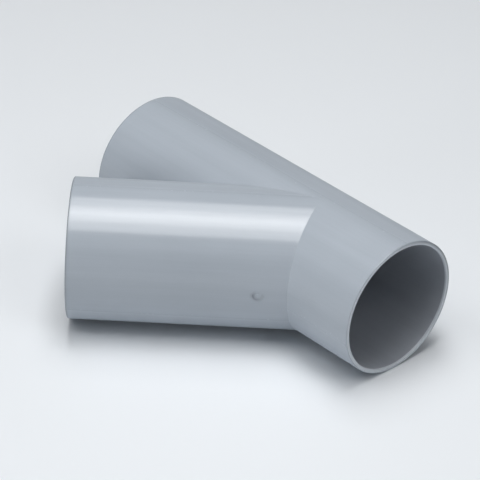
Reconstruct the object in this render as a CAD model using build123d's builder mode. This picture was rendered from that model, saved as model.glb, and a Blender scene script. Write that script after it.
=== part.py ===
from build123d import *
import os

# Lateral wye for 110 mm plain-ended plastic pipe: a straight run with one
# branch of the same diameter leaving it at 45 degrees. All three ends are plain
# spigots that push into a socket, so every end is a bare length of pipe with a
# bevelled rim. The fitting is one moulding and lies on its side.
#
# Frame: the run lies along X with its short leg and open mouth at +X. The branch
# leaves toward -X and -Y. Both axes are level and cross at the origin, so the
# fitting is the same above and below the XY plane, and it rests on the lowest
# lines of its two barrels.

# Pipe (mm)
pipe_diameter = 110.0
wall = 3.2

# Legs, each measured from the crossing of the axes to its end face (mm)
front_leg = 87.0
rear_leg = 198.0
branch_leg = 191.0
branch_angle = 45.0

# Rims (mm): a lead-in bevel outside, and the mouth's edge broken inside
lead_in = 0.6
edge_break = 0.5

# Gate mark on the branch's side (mm): a shallow round dish with the stub of the
# sprue left standing in it, a little below the barrel's skin
gate_from_crossing = 45.0
gate_diameter = 7.0
gate_depth = 0.5
sprue_diameter = 2.6
sprue_sunk = 0.15

pipe_radius = pipe_diameter / 2
bore_radius = pipe_radius - wall

# A leg's plane stands on its end face, with its normal along the leg, outward.
front_direction = Vector(1, 0, 0)
rear_direction = Vector(-1, 0, 0)
branch_direction = rear_direction.rotate(Axis.Z, branch_angle)


def leg_plane(direction, distance):
    """Plane across a leg, at a distance from the crossing of the axes."""
    return Plane(origin=direction * distance, z_dir=direction)


front_end = leg_plane(front_direction, front_leg)
rear_end = leg_plane(rear_direction, rear_leg)
branch_end = leg_plane(branch_direction, branch_leg)
end_planes = [front_end, rear_end, branch_end]

# The gate is on the parting plane, on the side of the branch that faces the mouth.
gate_outward = branch_direction.rotate(Axis.Z, 90)
gate_foot = branch_direction * gate_from_crossing
gate_floor = Plane(
    origin=gate_foot + gate_outward * (pipe_radius - gate_depth),
    x_dir=branch_direction,
    z_dir=gate_outward,
)

# The dish is the cap of a ball, as wide as the gate and as deep at its middle.
dish_radius = ((gate_diameter / 2) ** 2 + gate_depth**2) / (2 * gate_depth)
dish_centre = gate_foot + gate_outward * (pipe_radius - gate_depth + dish_radius)

with BuildPart() as wye:
    # Outside: two equal barrels. Where equal barrels meet, their skins cross in
    # flat half-ellipses, which gives the fitting its mitred look.
    with BuildSketch(rear_end):
        Circle(pipe_radius)
    extrude(amount=-(rear_leg + front_leg))
    with BuildSketch(branch_end):
        Circle(pipe_radius)
    extrude(amount=-branch_leg)

    # Lead-in bevel round the outside of each end face.
    for plane in end_planes:
        rim = wye.edges().filter_by(GeomType.CIRCLE).sort_by_distance(plane.origin)[0]
        chamfer(rim, lead_in)

    # Inside: the same two barrels one wall smaller, cut right through.
    with BuildSketch(rear_end):
        Circle(bore_radius)
    extrude(amount=-(rear_leg + front_leg), mode=Mode.SUBTRACT)
    with BuildSketch(branch_end):
        Circle(bore_radius)
    extrude(amount=-branch_leg, mode=Mode.SUBTRACT)

    # The inner edge of each mouth is broken.
    for plane in end_planes:
        rim = wye.edges().filter_by(GeomType.CIRCLE).sort_by_distance(plane.origin)[0]
        chamfer(rim, edge_break)

    # Gate mark: the dish is cut in, and the sprue's stub stands on its floor.
    with Locations(dish_centre):
        Sphere(dish_radius, mode=Mode.SUBTRACT)
    with BuildSketch(gate_floor):
        Circle(sprue_diameter / 2)
    extrude(amount=gate_depth - sprue_sunk)

wye.part.label = "wye"

os.makedirs("parts", exist_ok=True)
export_step(wye.part, "parts/wye.step")
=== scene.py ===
# %% [markdown]
# # A lateral wye for 110 mm plastic drain pipe
# A lateral wye joins a side branch to a straight run of pipe at 45 degrees, so
# that what comes down the branch slips into the flow instead of hitting it
# square. This one is a single moulding in grey-blue plastic. Its three ends are
# plain spigots: bare lengths of pipe that push into sockets.
#
# The CAD model gives the sizes and the collision shape. This lesson lays a finer
# skin over it, gives the skin its plastic, and lights it on a pale floor.

import bmesh
import bpy
import numpy as np
from mathutils import Matrix


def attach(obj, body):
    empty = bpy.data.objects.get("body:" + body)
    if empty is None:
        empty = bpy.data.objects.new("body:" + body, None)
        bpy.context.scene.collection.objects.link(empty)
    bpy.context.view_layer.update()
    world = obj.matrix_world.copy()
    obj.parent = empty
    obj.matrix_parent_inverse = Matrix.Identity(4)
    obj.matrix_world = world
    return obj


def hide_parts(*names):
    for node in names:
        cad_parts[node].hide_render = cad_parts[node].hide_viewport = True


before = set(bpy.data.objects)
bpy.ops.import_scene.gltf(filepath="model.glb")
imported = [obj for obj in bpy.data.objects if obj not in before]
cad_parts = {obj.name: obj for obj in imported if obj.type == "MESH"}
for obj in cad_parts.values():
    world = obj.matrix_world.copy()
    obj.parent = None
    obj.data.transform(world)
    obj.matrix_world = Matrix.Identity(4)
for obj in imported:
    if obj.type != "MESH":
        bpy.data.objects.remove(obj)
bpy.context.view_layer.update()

# %% [markdown]
# ## The sizes
# Every size is the CAD model's, in metres. The axes of the run and of the branch
# are level and cross at the origin. The run lies along X, with its short leg
# toward +X, and the branch leaves toward -X and -Y. So the fitting has three
# legs, and each is a direction and a length from the crossing.

# %% Sizes and legs
RADIUS = 0.055
WALL = 0.0032
BORE = RADIUS - WALL
BRANCH_ANGLE = np.radians(45)
UP = np.array([0.0, 0.0, 1.0])

WAYS = {
    "front": np.array([1.0, 0.0, 0.0]),
    "rear": np.array([-1.0, 0.0, 0.0]),
    "branch": np.array([-np.cos(BRANCH_ANGLE), -np.sin(BRANCH_ANGLE), 0.0]),
}
LENGTHS = {"front": 0.087, "rear": 0.198, "branch": 0.191}
print("legs, in metres:", LENGTHS)

# %% [markdown]
# ## Where the barrels meet
# Two pipes of one diameter whose axes cross meet in flat curves, like a mitre.
# Each curve lies in the upright plane that halves the angle between two legs.
# Round a leg, the turn `t` is measured from its level side. There the seam's
# distance from the crossing is radius x |cos t| / tan(half the angle). On the
# run's back the two legs are one straight barrel, and the seam is only a ring.
#
# A Boolean modifier could cut the barrels too, but it leaves long thin faces
# along the seam. Worked out this way, the faces follow it.

# %% Seams between the legs
# The leg met on the side that a leg's level direction points to, and on the other.
NEIGHBOURS = {
    "front": ("rear", "branch"),
    "rear": ("branch", "front"),
    "branch": ("front", "rear"),
}


def side_of(way):
    """A leg's level side: its direction turned a quarter turn to the left."""
    return np.array([-way[1], way[0], 0.0])


def radial(name, turn):
    """Unit vectors square to a leg: its side x cos(turn) + up x sin(turn)."""
    return np.cos(turn)[:, None] * side_of(WAYS[name]) + np.sin(turn)[:, None] * UP


def seam(name, turn):
    """For each turn, the seam's distance for a barrel of radius 1, and the unit
    normal of the seam's plane: the difference of the two legs' directions."""
    facing = (np.cos(turn) < 0).astype(int)
    other = np.array([WAYS[n] for n in NEIGHBOURS[name]])[facing]
    angle = np.arccos(np.clip(other @ WAYS[name], -1, 1))
    straight = angle > np.pi - 1e-6
    distance = np.where(straight, 0.0, np.abs(np.cos(turn)) / np.tan(angle / 2))
    normal = WAYS[name] - other
    return distance, normal / np.linalg.norm(normal, axis=1)[:, None]


for name in WAYS:
    reach, _ = seam(name, np.array([0.0, np.pi]))
    print(name, "seam at", (reach * RADIUS * 1000).round(1), "mm on its two sides")

# %% [markdown]
# ## The grid
# A skin is a grid of points. One direction goes round the leg and the other goes
# along it. The turns are closer together near the level plane, where the gate
# mark is. Each turn has its mirror image, so that neighbouring legs have the
# same points on the seam that they share.

# %% Turns round a leg
# The turns stay close together this far above and below the level plane. Past
# it they open out: at share s of the way they have turned 0.4 s + 0.6 s^1.7.
CLOSE_HEIGHT = 0.0042
CLOSE_TURNS = 24
OPEN_TURNS = 58

close_turn = CLOSE_HEIGHT / RADIUS
close = np.linspace(0, close_turn, CLOSE_TURNS, endpoint=False)
share = np.linspace(0, 1, OPEN_TURNS)
opening = close_turn + (np.pi / 2 - close_turn) * (0.4 * share + 0.6 * share**1.7)
quarter = np.concatenate([close, opening])
half = np.concatenate([quarter, np.pi - quarter[-2::-1]])
turns = np.concatenate([half, -half[-2:0:-1]])
closest = np.diff(quarter).min() * RADIUS * 1000
print("turns round a leg:", len(turns), "from", round(closest, 2), "mm apart")

# %% [markdown]
# ## The crease
# The mould's cutter leaves a small radius in the corner between two barrels. A
# ball that rolls along the corner and touches both has its centre on the seam of
# barrels that are one ball radius larger. Seen from that centre, the strip runs
# from the seam's plane to the point where the ball touches this leg.
#
# A Bevel modifier makes such a strip as well, but its points would no longer be
# the same ones on both legs, and here the strips have to meet.

# %% Crease
CREASE = 0.0008
CREASE_ROWS = 5


def crease_rows(name, radius):
    """Rows of points from the seam's plane to the leg's own skin.

    The leg's radial vector is cos(b) x lean + sin(b) x normal, where `lean` lies
    in the seam's plane. A row at share w is centre - ball x (cos(wb) x lean +
    sin(wb) x normal). Where the barrel is straight, rows step along it instead.
    """
    own = radial(name, turns)
    reach, normal = seam(name, turns)
    ball_reach = radius + CREASE
    centre = ball_reach * (own + reach[:, None] * WAYS[name])
    slope = np.arcsin(np.clip((own * normal).sum(1), -1, 1))
    lean = own - np.sin(slope)[:, None] * normal
    lean /= np.linalg.norm(lean, axis=1)[:, None]
    straight = (reach == 0) & (np.abs(np.cos(turns)) > 1e-9)
    rows = []
    for share in np.linspace(0, 1, CREASE_ROWS):
        swing = (share * slope)[:, None]
        step = np.where(straight, share * CREASE * np.abs(np.cos(turns)), 0.0)
        touch = centre - CREASE * (np.cos(swing) * lean + np.sin(swing) * normal)
        rows.append(touch + step[:, None] * WAYS[name])
    return np.array(rows)


print("crease radius:", CREASE * 1000, "mm")

# %% [markdown]
# ## The rim
# An end's profile runs off the skin over a small lead-in bevel, across the flat
# face, and over the broken inner edge into the bore. Each corner of it is
# rounded a little, as on a moulding, so that it catches a thin line of light.
# The rim is where the moulding was trimmed. The cut is painted paler than the
# skin, as painted light, and is duller; the painted light reaches a little way into the bore.

# %% Rim
LEAD_IN = 0.0006
EDGE_BREAK = 0.0005
GUARD = 0.0012  # the last of the skin before the bevel, kept as a row of its own
PAINTED_LIGHT_DEPTH = 0.0019  # how far into the bore the rim's painted light reaches
CORNER = 0.0003
CORNER_POINTS = 5


def rounded(points, radius, steps):
    """A line of points with each inner corner replaced by an arc that touches
    both sides. The arc starts radius x tan(half the bend) before the corner."""
    points = np.array(points, float)
    out = [points[0]]
    for before, corner, after in zip(points, points[1:], points[2:]):
        came = (corner - before) / np.linalg.norm(corner - before)
        goes = (after - corner) / np.linalg.norm(after - corner)
        bend = np.arccos(np.clip(came @ goes, -1, 1))
        hand = np.sign(came[0] * goes[1] - came[1] * goes[0])
        inward = hand * np.array([-came[1], came[0]])
        centre = corner - came * radius * np.tan(bend / 2) + inward * radius
        for angle in np.linspace(0, bend, steps):
            out.append(centre - radius * (np.cos(angle) * inward - np.sin(angle) * came))
    out.append(points[-1])
    return np.array(out)


def rim_profile(length):
    """(distance along the leg, distance from its axis), from skin to bore."""
    corners = [
        (length - LEAD_IN - GUARD, RADIUS),
        (length - LEAD_IN, RADIUS),
        (length, RADIUS - LEAD_IN),
        (length, BORE + EDGE_BREAK),
        (length - EDGE_BREAK, BORE),
        (length - PAINTED_LIGHT_DEPTH, BORE),
    ]
    return rounded(corners, CORNER, CORNER_POINTS)


# The cut face starts halfway round the second corner, past the lead-in bevel.
FACE_STARTS = 1 + CORNER_POINTS + CORNER_POINTS // 2
print("points in a rim's profile:", len(rim_profile(0.1)), "with the face from point", FACE_STARTS)

# %% [markdown]
# ## The gate mark
# Hot plastic enters a mould at its gate. Here the gate left a shallow round dish
# on the side of the branch, with the stub of the sprue standing in it. The dish
# is half a millimetre deep, so it is worked into the skin itself. A bump in the
# material would leave the mesh smooth there.

# %% Gate mark
GATE_FROM_CROSSING = 0.045
GATE_DIAMETER = 0.007
GATE_DEPTH = 0.0005
SPRUE_RADIUS = 0.0013
SPRUE_SUNK = 0.00015  # how far the stub's top stays below the skin
SPRUE_EDGE = 0.00025  # how wide the stub's sloping edge is
DISH = ((GATE_DIAMETER / 2) ** 2 + GATE_DEPTH**2) / (2 * GATE_DEPTH)


def branch_skin(along, turn):
    """Distance of the branch's skin from its axis, with dish and stub worked in.

    The dish is part of a ball whose centre stands off the skin at c. Along a ray
    from the axis the ball's near side is at
    c cos(t) - sqrt(ball^2 - (c sin t)^2 - offset^2). The stub rises at its edge
    as 3 s^2 - 2 s^3, which starts and stops gently.
    """
    offset = along - GATE_FROM_CROSSING
    centre = RADIUS - GATE_DEPTH + DISH
    under = DISH**2 - (centre * np.sin(turn)) ** 2 - offset**2
    dish = centre * np.cos(turn) - np.sqrt(np.maximum(under, 0))
    here = (under > 0) & (np.cos(turn) > 0)
    skin = np.where(here, np.minimum(dish, RADIUS), RADIUS)
    from_middle = np.hypot(offset, RADIUS * np.sin(turn))
    rise = np.clip((SPRUE_RADIUS + SPRUE_EDGE / 2 - from_middle) / SPRUE_EDGE, 0, 1)
    stub = np.maximum(RADIUS - SPRUE_SUNK - skin, 0) * rise * rise * (3 - 2 * rise)
    return np.where(here, skin + stub, skin)


ball = round(DISH * 1000, 1)
print("dish:", GATE_DIAMETER * 1000, "mm wide, from a ball of radius", ball, "mm")

# %% [markdown]
# ## The rows
# Each leg is one grid, made row by row: crease, skin, rim, bore, and the crease
# between the bores. The skin's rows are given as shares of the way from the
# crease to the rim. The branch's crowd together where the gate mark is.

# %% Rows of a leg
GATE_FROM, GATE_TO = 0.104, 0.16
SKIN_ROWS = {
    "front": np.linspace(0, 1, 14),
    "rear": np.linspace(0, 1, 24),
    "branch": np.concatenate(
        [np.linspace(0, 0.1, 5), np.linspace(GATE_FROM, GATE_TO, 34), np.linspace(0.17, 1, 20)]
    ),
}
BORE_ROWS = np.linspace(0, 1, 16)


def leg_grid(name):
    """All the rows of one leg, as rows x turns x 3, and the parts they belong to:
    a 0 for each strip of cells on the skin, a 1 on the rim and a 2 in the bore."""
    way, own = WAYS[name], radial(name, turns)
    profile = rim_profile(LENGTHS[name])
    rows = list(crease_rows(name, RADIUS))
    start = rows[-1] @ way
    for share in SKIN_ROWS[name][1:-1]:
        along = start + (profile[0, 0] - start) * share
        away = branch_skin(along, turns) if name == "branch" else np.full(len(turns), RADIUS)
        rows.append(own * away[:, None] + along[:, None] * way)
    rim_from = len(rows) + FACE_STARTS
    rows += [own * away + along * way for along, away in profile]
    bore_from = len(rows) - 1
    inner = crease_rows(name, BORE)[::-1]
    end = inner[0] @ way
    for share in BORE_ROWS[1:-1]:
        along = profile[-1, 0] + (end - profile[-1, 0]) * share
        rows.append(own * BORE + along[:, None] * way)
    rows += list(inner)
    strips = np.arange(len(rows) - 1)
    return np.array(rows), (strips >= rim_from).astype(int) + (strips >= bore_from)


def grid_faces(rows, columns, first):
    """The corners of each cell of a grid that closes on itself round the leg."""
    index = first + np.arange(rows * columns).reshape(rows, columns)
    beside = np.roll(index, -1, axis=1)
    return np.stack([index[:-1], beside[:-1], beside[1:], index[1:]], -1).reshape(-1, 4)


print("rows of skin:", {name: len(rows) for name, rows in SKIN_ROWS.items()})

# %% [markdown]
# ## What the skin remembers
# Two patterns follow the surface, so the mesh carries a value for each at every
# point. One is a place to read streaks from: steel cores are drawn out along
# each leg and leave their lines in the plastic that way. The other is painted
# shade: a dark ring round the gate dish that opens toward the top, where light
# falls in, and a dark line on the bevels, on the mouth's only on the side that
# faces away from the lamps.

# %% Streaks and painted shade
SQUASH = 0.97
GATE_RING = 0.0036
GATE_RING_WIDTH = 0.0012
# Painted shade: how strong its ring round the gate dish is, how it leans, and how dark the bevels
# are painted.
RING_SHADE, RING_OUTWARD, RING_UPWARD = 0.7, 0.3, 0.8
BEVEL_SHADE = 0.6
MOUTH_DIRT = np.array([0.0, 0.94, 0.34])  # the side of the mouth with the most painted shade


def drawn_out(name, places):
    """Places squashed along their leg, so a pattern read there comes out as
    streaks along the leg: place - squash x (place . way) x way, moved per leg."""
    along = (places @ WAYS[name])[:, None]
    return places - SQUASH * along * WAYS[name] + list(WAYS).index(name)


def painted_shade_of(name, places):
    """How much painted shade a place gets, 0 to 1.

    Round the gate dish, painted shade lies in a ring: e^-(distance from the ring /
    width)^2. That is multiplied by the ring's share + outward x (how far the place
    lies toward the end of the branch) - upward x (how far it lies toward the top),
    so the ring opens toward the top. On the bevels it is a fixed share, and on the
    mouth's bevel it is the cosine of the angle from the side that gets the most.
    """
    way = WAYS[name]
    along = places @ way
    across = places - along[:, None] * way
    away = np.linalg.norm(across, axis=1)
    outer = away > BORE + WALL / 2
    bevel = outer & (along > LENGTHS[name] - LEAD_IN - GUARD / 2)
    facing = np.clip(across @ MOUTH_DIRT / away, 0, 1) if name == "front" else BEVEL_SHADE
    from_gate = places - (way * GATE_FROM_CROSSING + side_of(way) * RADIUS)
    distance = np.linalg.norm(from_gate, axis=1) + 1e-9
    ring = np.exp(-(((distance - GATE_RING) / GATE_RING_WIDTH) ** 2)) * (outer & (name == "branch"))
    outward, upward = from_gate @ way / distance, from_gate[:, 2] / distance
    share = RING_SHADE + RING_OUTWARD * outward - RING_UPWARD * np.maximum(upward, 0)
    return np.maximum(ring * np.clip(share, 0, 1), np.where(bevel, facing, 0.0))


# The ring printed here is painted shade round the gate dish.
print("dirt ring round the gate:", GATE_RING * 2000, "mm across")

# %% [markdown]
# ## The skin
# The three grids are worked out as whole arrays and put into one mesh. They meet
# point for point on their seams, so welding the doubles there closes the skin.
# On a closed skin every edge has two faces, so the edges that don't are counted.

# %% Three grids
points, streaks, painted_shade, faces, parts, first = [], [], [], [], [], 0
for name in WAYS:
    grid, part_of_strip = leg_grid(name)
    rows, columns = grid.shape[:2]
    points.append(grid.reshape(-1, 3))
    streaks.append(drawn_out(name, points[-1]))
    painted_shade.append(painted_shade_of(name, points[-1]))
    faces.append(grid_faces(rows, columns, first))
    parts.append(np.repeat(part_of_strip, columns))
    first += rows * columns
    print(name, "grid:", rows, "rows of", columns, "points")

# %% Weld the legs
WELD_DISTANCE = 2e-6

mesh = bpy.data.meshes.new("wye_skin")
mesh.from_pydata(np.concatenate(points).tolist(), [], np.concatenate(faces).tolist())
mesh.polygons.foreach_set("material_index", np.concatenate(parts))
drawn = mesh.attributes.new("drawn", "FLOAT_VECTOR", "POINT")
drawn.data.foreach_set("vector", np.concatenate(streaks).ravel())
# The painted shade is kept as a value at every point of the mesh.
soil = mesh.attributes.new("soil", "FLOAT", "POINT")
soil.data.foreach_set("value", np.concatenate(painted_shade))
weld = bmesh.new()
weld.from_mesh(mesh)
bmesh.ops.remove_doubles(weld, verts=weld.verts, dist=WELD_DISTANCE)
bmesh.ops.recalc_face_normals(weld, faces=weld.faces)
open_edges = sum(len(edge.link_faces) != 2 for edge in weld.edges)
weld.to_mesh(mesh)
weld.free()
mesh.shade_smooth()
wye = bpy.data.objects.new("wye_skin", mesh)
bpy.context.scene.collection.objects.link(wye)
print("skin:", len(mesh.vertices), "points and", len(mesh.polygons), "faces")
print("open edges:", open_edges)

# %% [markdown]
# ## Shader sums
# A material is a chain of nodes. It reads best as sums, so a small class lets
# Python's own signs stand for Math nodes.

# %% Flow
def linear(red, green, blue):
    """A paint-chart colour, 0 to 255, as the share of the light that it returns:
    c / 12.92 where it is dark, and ((c + 0.055) / 1.055)^2.4 elsewhere."""
    c = np.array([red, green, blue]) / 255
    return (*np.where(c <= 0.04045, c / 12.92, ((c + 0.055) / 1.055) ** 2.4), 1.0)


class Flow:
    """A value that runs through a material: an output socket that takes sums."""

    def __init__(self, tree, socket):
        self.tree, self.socket = tree, socket

    @classmethod
    def node(cls, tree, kind, settings=(), inputs=(), output=0):
        """Adds a node. Its settings come first, with `stops` for a ramp, then the
        values or flows of its sockets. Returns one of its outputs."""
        made = tree.nodes.new("ShaderNode" + kind)
        for key, value in dict(settings).items():
            if key == "stops":
                ramp = made.color_ramp.elements
                while len(ramp) < len(value):
                    ramp.new(0.5)
                for stop, (place, colour) in zip(ramp, value):
                    stop.position, stop.color = place, colour
            else:
                setattr(made, key, value)
        for key, value in dict(inputs).items():
            if isinstance(value, Flow):
                tree.links.new(value.socket, made.inputs[key])
            else:
                made.inputs[key].default_value = value
        return cls(tree, made.outputs[output]) if made.outputs else None

    def maths(self, operation, *values):
        """One Math node on values or flows."""
        return Flow.node(self.tree, "Math", {"operation": operation}, enumerate(values))

    def clamp(self):
        """The value held between 0 and 1."""
        return Flow.node(self.tree, "Clamp", {}, {"Value": self})

    def __add__(self, other):
        return self.maths("ADD", self, other)

    def __sub__(self, other):
        return self.maths("SUBTRACT", self, other)

    def __mul__(self, other):
        return self.maths("MULTIPLY", self, other)

    def __rsub__(self, other):
        return self.maths("SUBTRACT", other, self)

    __radd__, __rmul__ = __add__, __mul__


print("the plastic's grey returns", np.round(linear(167, 175, 184)[:3], 3), "of the light")

# %% [markdown]
# ## The plastic
# Moulded PVC is never quite even. The melt leaves soft clouds in the colour, the
# steel cores leave fine streaks along each leg, the cavity leaves a faint orange
# peel, and handling leaves dull specks. Each is a noise pattern, read at the
# object's own coordinates or at the places that the skin remembers for streaks.
# Painted shade makes the plastic darker and duller. Seen edge on, the plastic is duller
# too, so the floor doesn't draw a bright line along its outlines.
#
# Image textures could carry all this, but noise has no edges and no resolution,
# and it needs no unwrapping.

# %% Plastic
# Noise patterns: how many patches to a metre, and how many finer layers.
CLOUD, PEEL, SPECK, GRAIN = (9.0, 3.0), (260.0, 2.0), (420.0, 4.0), (1800.0, 1.0)
STREAK, LINE = (90.0, 3.0), (700.0, 2.0)
# Specks are where their noise is high. The second number sharpens their edges.
SPECK_FROM, SPECK_EDGE = 0.62, 12.0
# The colour goes from dark to light between these values of the mixed noise.
DARK_UP_TO, LIGHT_FROM = 0.35, 0.65
# The painted shade's colour, and how far the colour goes toward it where the painted shade is full.
PAINTED_SHADE_COLOUR = linear(66, 72, 80)
PAINTED_SHADE_SHARE = 0.6
# The dulling starts at this share of the way to edge on, and rises this fast.
EDGE_FROM, EDGE_RISE = 0.4, 2.2
NOISE_MEAN = 0.045  # what the clouds and streaks add to the roughness on average
PEEL_STRENGTH, PEEL_HEIGHT = 0.15, 0.00006
PVC_IOR = 1.5


def plastic(name, dark, light, dull):
    """Grey-blue plastic between two colours, `dull` being its mean roughness."""
    material = bpy.data.materials.new(name)
    material.use_nodes = True
    tree = material.node_tree
    tree.nodes.clear()
    place = Flow.node(tree, "TexCoord", output="Object")
    leg_place = Flow.node(tree, "Attribute", {"attribute_name": "drawn"}, output="Vector")
    painted_shading = Flow.node(tree, "Attribute", {"attribute_name": "soil"}, output="Fac")

    def noise(vector, pattern):
        """A noise pattern, 0 to 1 and mostly near 0.5, read at a place."""
        sockets = {"Vector": vector, "Scale": pattern[0], "Detail": pattern[1]}
        return Flow.node(tree, "TexNoise", {}, sockets)

    cloud, peel, grain = noise(place, CLOUD), noise(place, PEEL), noise(place, GRAIN)
    streak, line = noise(leg_place, STREAK), noise(leg_place, LINE)
    speck = ((noise(place, SPECK) - SPECK_FROM) * SPECK_EDGE).clamp()

    tone = cloud * 0.35 + streak * 0.35 + line * 0.15 + grain * 0.15
    stops = [(DARK_UP_TO, dark), (LIGHT_FROM, light)]
    clean = Flow.node(tree, "ValToRGB", {"stops": stops}, {"Fac": tone})
    # Painted shade: the colour is mixed toward a dark grey where the mesh's painted shade value is
    # high.
    mixed = {0: painted_shading * PAINTED_SHADE_SHARE, 6: clean, 7: PAINTED_SHADE_COLOUR}
    colour = Flow.node(tree, "Mix", {"data_type": "RGBA"}, mixed, output=2)

    # The fade goes from 0 to 1 as 3 s^2 - 2 s^3, so it starts and stops gently.
    edge_on = Flow.node(tree, "LayerWeight", {}, {"Blend": 0.5}, output="Facing")
    toward_edge = ((edge_on - EDGE_FROM) * EDGE_RISE).clamp()
    fade = toward_edge * toward_edge * (3.0 - toward_edge * 2.0)
    uneven = cloud * 0.05 + streak * 0.04 + speck * (1.0 - fade) * 0.08
    roughness = uneven + painted_shading * 0.3 + fade * 0.5 + (dull - NOISE_MEAN)

    height = peel * 0.6 + line * 0.15 + streak * 0.15 + grain * 0.1
    surface = {"Strength": PEEL_STRENGTH, "Distance": PEEL_HEIGHT, "Height": height}
    bump = Flow.node(tree, "Bump", {}, surface)
    finish = {"Base Color": colour, "Roughness": roughness, "IOR": PVC_IOR, "Normal": bump}
    shader = Flow.node(tree, "BsdfPrincipled", {}, finish)
    Flow.node(tree, "OutputMaterial", {}, {"Surface": shader})
    return material


# %% [markdown]
# ## Skin, cut and bore
# The skin took its gloss from the polished mould. The cut rims are painted
# paler than the skin, which is painted light, and they are dull. The bore is
# painted a little darker than the skin, which is painted shade, and it is dull
# too. All three are the same plastic, so one function makes them, and each face
# of the mesh already knows which of the three it has.

# %% Three finishes
mesh.materials.append(plastic("pipe_plastic", linear(163, 171, 180), linear(173, 181, 190), 0.17))
# The rim's paler colour is painted light.
mesh.materials.append(plastic("rim_painted_light", linear(196, 203, 210), linear(206, 213, 220), 0.4))
# The bore's darker colour is painted shade.
mesh.materials.append(plastic("bore_painted_shade", linear(150, 155, 163), linear(160, 165, 173), 0.4))
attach(wye, "root")
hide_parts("wye")
print("materials:", [m.name for m in mesh.materials])

# %% [markdown]
# ## The floor
# The stage isn't part of the object: a large sheet of pale paper, level with the
# lowest lines of the two barrels.

# %% Floor
bpy.ops.mesh.primitive_plane_add(size=8, location=(0, 0, -RADIUS))
floor = bpy.context.object
floor.name = "floor"
paper = bpy.data.materials.new("paper")
paper.use_nodes = True
paper_shader = paper.node_tree.nodes["Principled BSDF"]
paper_shader.inputs["Base Color"].default_value = linear(229, 233, 237)
paper_shader.inputs["Roughness"].default_value = 0.6
floor.data.materials.append(paper)
print("floor at z =", -RADIUS)

# %% [markdown]
# ## The lamps
# A strip of soft light hangs overhead, square to the branch, so its mirror image
# lies along the branch as one clean band. The run doesn't see it. The strip is
# brightest in its middle, so it is made of panels side by side: where panels
# overlap, a mirror image shows only one of them. Weaker panels stand at the
# sides, and the room adds a little from everywhere.

# %% Lamps
CEILING = 2.2
WALL_SIDE = 0.41  # a wall panel's side, as a share of its distance
ROOM_GLOW = 0.035
ACROSS = side_of(WAYS["branch"])


def panel(name, centre, across, size, glow):
    """A rectangular lamp, `glow` being its brightness on a scale where 1 lights a
    white wall to white from all round.

    A lamp shines along its own -Z. With `across`, which is the way its width
    runs, it faces straight down. Without it, the lamp faces the origin.
    """
    out = centre / np.linalg.norm(centre) if across is None else UP
    x_way = np.cross(UP, out) if across is None else across
    x_way = x_way / np.linalg.norm(x_way)
    stand = np.eye(4)
    stand[:3, 0], stand[:3, 1], stand[:3, 2] = x_way, np.cross(out, x_way), out
    stand[:3, 3] = centre
    data = bpy.data.lights.new(name, "AREA")
    data.shape = "RECTANGLE"
    data.size, data.size_y = size
    data.energy = glow * np.pi * size[0] * size[1]
    lamp = bpy.data.objects.new(name, data)
    lamp.matrix_world = Matrix(stand.tolist())
    bpy.context.scene.collection.objects.link(lamp)


def overhead(name, low, high, left, right, glow):
    """A part of the ceiling strip, between angles from straight up, in degrees:
    low to high square to the branch, left to right along it. Each angle reaches
    ceiling x tan(angle) out."""
    x0, x1, y0, y1 = CEILING * np.tan(np.radians([low, high, left, right]))
    middle = ACROSS * (x0 + x1) / 2 + WAYS["branch"] * (y0 + y1) / 2 + UP * CEILING
    panel(name, middle, ACROSS, (x1 - x0, y1 - y0), glow)


def wall(name, azimuth, elevation, distance, glow):
    """A square panel that stands off in a direction, in degrees, and faces the
    fitting. Its side grows with its distance, so it looks as large from anywhere."""
    a, e = np.radians([azimuth, elevation])
    out = np.array([np.cos(a) * np.cos(e), np.sin(a) * np.cos(e), np.sin(e)])
    panel(name, out * distance, None, (WALL_SIDE * distance, WALL_SIDE * distance), glow)


overhead("strip_far", -31, -14, -10, 14, 3.6)
overhead("strip_far_middle", -14, -5, -10, 14, 6.8)
overhead("strip_core", -5, 5, -10, 14, 9.8)
overhead("strip_near_middle", 5, 14, -10, 14, 8.0)
overhead("strip_near", 14, 30, -10, 14, 4.6)
overhead("strip_end", 14, 30, 14, 30, 2.6)
wall("high_left", -112, 51, 2.2, 2.1)
wall("low_left", -104, 6, 3.6, 3.7)
wall("high_right", 0, 48, 2.2, 2.7)

world = bpy.data.worlds.new("studio")
bpy.context.scene.world = world
world.use_nodes = True
world.node_tree.nodes["Background"].inputs["Color"].default_value = (1, 1, 1, 1)
world.node_tree.nodes["Background"].inputs["Strength"].default_value = ROOM_GLOW

# %% [markdown]
# ## The camera
# It looks down on the mouth of the run from two metres away with a long lens, so
# the barrels hardly taper. It is rolled a little to one side.

# %% Camera
AZIMUTH, ELEVATION, ROLL = np.radians([46.16, 32.28, 2.26])
CAMERA_PLACE = (1.1958, -1.2328, 1.0994)
LENS, SENSOR = 198.14, 36

look = np.array([
    -np.sin(AZIMUTH) * np.cos(ELEVATION),
    np.cos(AZIMUTH) * np.cos(ELEVATION),
    -np.sin(ELEVATION),
])
level = np.cross(look, UP) / np.linalg.norm(np.cross(look, UP))
right = np.cos(ROLL) * level + np.sin(ROLL) * np.cross(level, look)
camera_data = bpy.data.cameras.new("camera")
camera_data.lens = LENS
camera_data.sensor_width = SENSOR
camera = bpy.data.objects.new("camera", camera_data)
stand = np.eye(4)
stand[:3, 0], stand[:3, 1], stand[:3, 2] = right, np.cross(right, look), -look
stand[:3, 3] = CAMERA_PLACE
camera.matrix_world = Matrix(stand.tolist())
bpy.context.scene.collection.objects.link(camera)
bpy.context.scene.camera = camera
bpy.context.scene.view_settings.view_transform = "Standard"
print("camera at", CAMERA_PLACE, "with a lens of", LENS, "mm")

# %% [markdown]
# ## Finish
# The view layer is brought up to date.

# %% Finish
bpy.context.view_layer.update()
